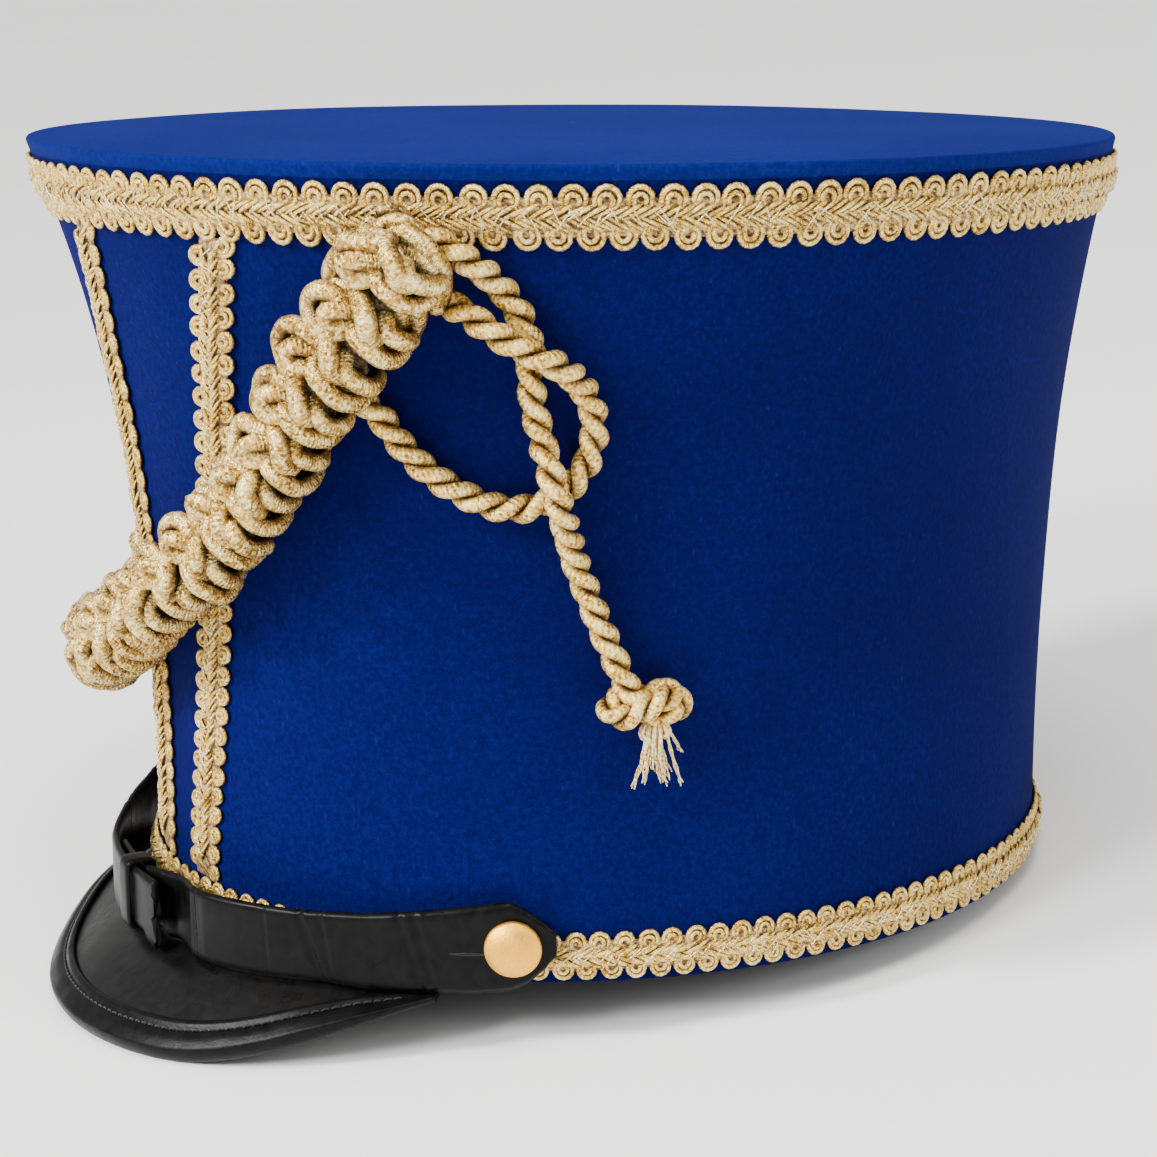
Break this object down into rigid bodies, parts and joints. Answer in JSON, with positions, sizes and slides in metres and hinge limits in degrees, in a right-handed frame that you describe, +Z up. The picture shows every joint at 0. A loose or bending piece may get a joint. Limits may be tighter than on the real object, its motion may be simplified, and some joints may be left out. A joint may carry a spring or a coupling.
{
  "type": "shako hat",
  "caption": "Flared oval shako hat with flat top, leather visor and chin strap, gimp braid trim, plaited cord swag over the front and a loose knotted cord.",
  "frame": {"origin": "middle of the bounding box on the surface the hat stands on", "axes": "+Z up, -Y the hat's front, +X the wearer's left; the hat stands on its visor's front edge and the back of its rim, so its front is raised by 4.6 degrees"},
  "size_m": [0.2278, 0.2536, 0.179],
  "materials": {
    "velvet": "napped velvet",
    "gimp": "metallic gold braid",
    "cord": "metallic gold cord",
    "button": "satin gold",
    "patent": "black patent gloss"
  },
  "bodies": {
    "root": {"crown_wall": "velvet", "crown_top": "velvet", "gimp_top": "gimp", "gimp_rim": "gimp", "gimp_front_left": "gimp", "gimp_front_right": "gimp", "visor": "patent", "visor_binding": "patent", "chin_strap_left": "patent", "chin_strap_right": "patent", "strap_keeper": "patent", "button_left": "button", "button_right": "button", "cord_swag": "cord", "cord_loop": "cord", "cord_tail": "cord", "cord_knot": "cord", "cord_fray": "cord"}
  },
  "joints": []
}
